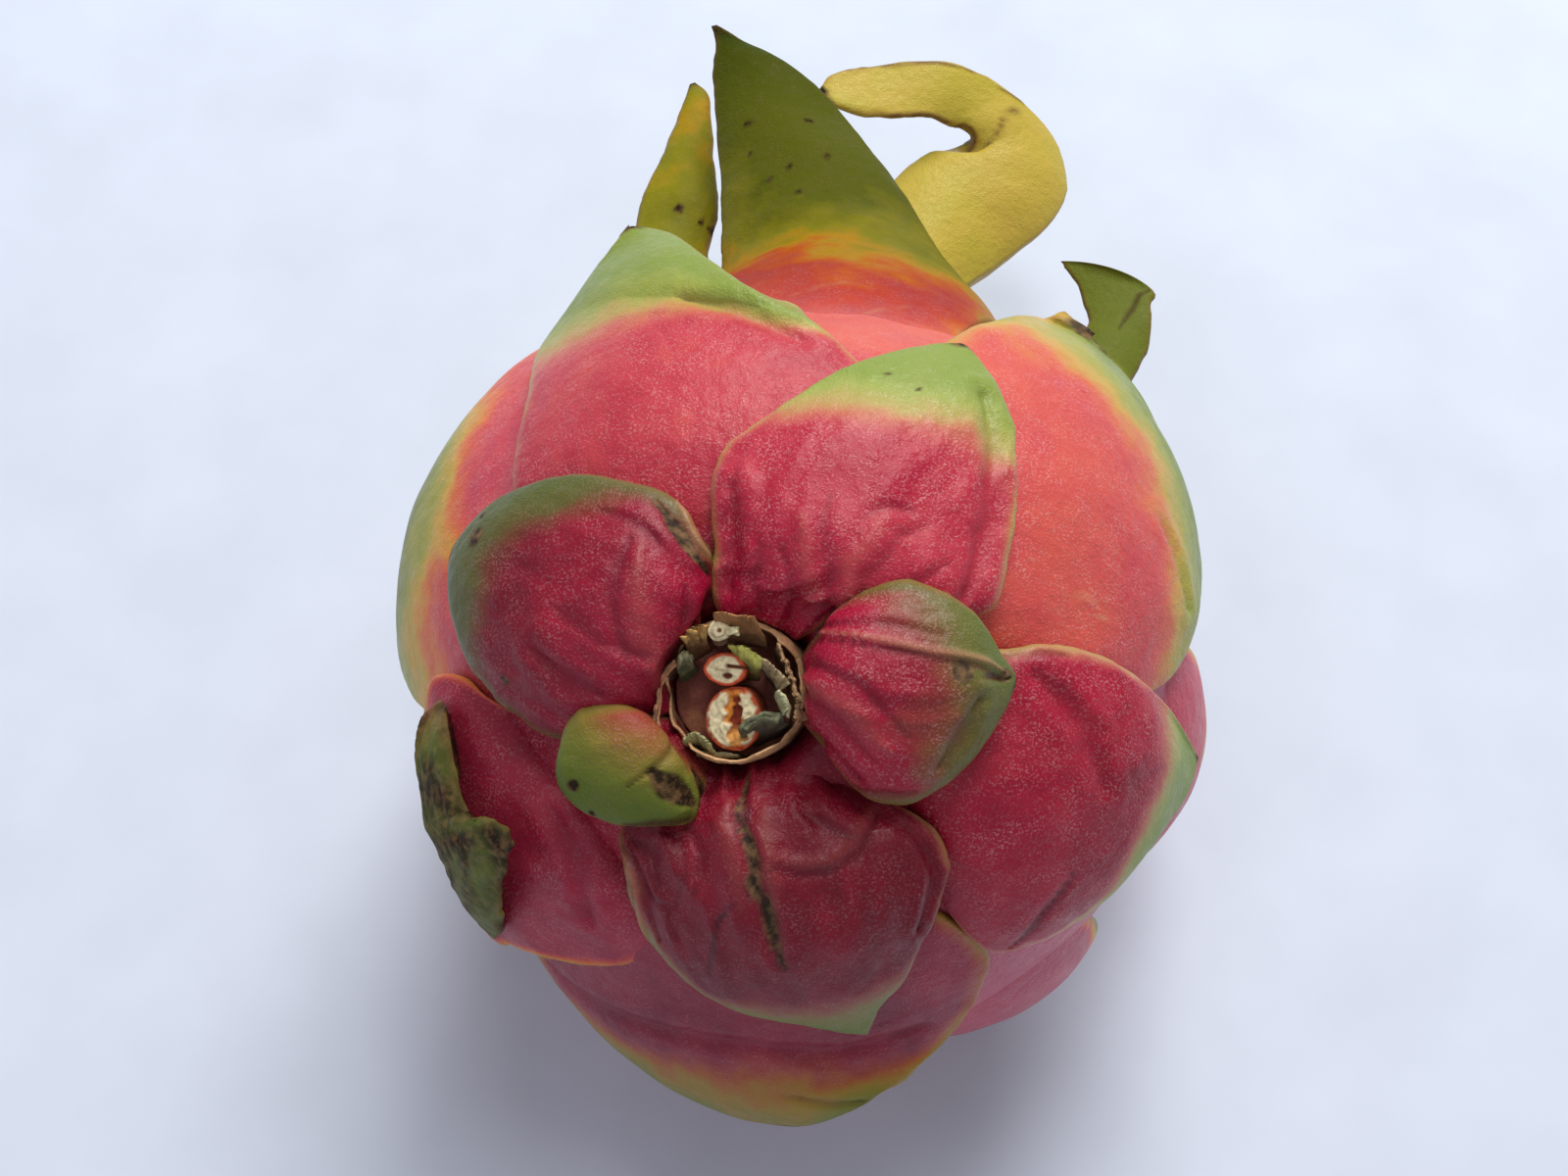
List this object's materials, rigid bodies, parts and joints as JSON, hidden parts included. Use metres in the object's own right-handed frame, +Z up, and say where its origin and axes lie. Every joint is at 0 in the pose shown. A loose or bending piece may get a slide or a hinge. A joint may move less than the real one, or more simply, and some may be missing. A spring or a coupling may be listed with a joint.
{
  "type": "dragon fruit",
  "caption": "Ripe whole dragon fruit with leafy scales, leaning on a small flat spot, stem end up and forward, long crown scales behind.",
  "frame": {"origin": "middle of the small flat spot that the fruit rests on", "axes": "+Z up from the surface it rests on, -Y towards the front, where the stem end leans, +X to the right"},
  "size_m": [0.1075, 0.1668, 0.1101],
  "materials": {
    "skin": "satin waxy skin, pink to red, with yellow and green rims on the scales",
    "dry_stem": "dry fibrous brown with a cream cut core"
  },
  "bodies": {
    "root": {"fruit": "skin", "stem_end": "dry_stem"}
  },
  "joints": []
}
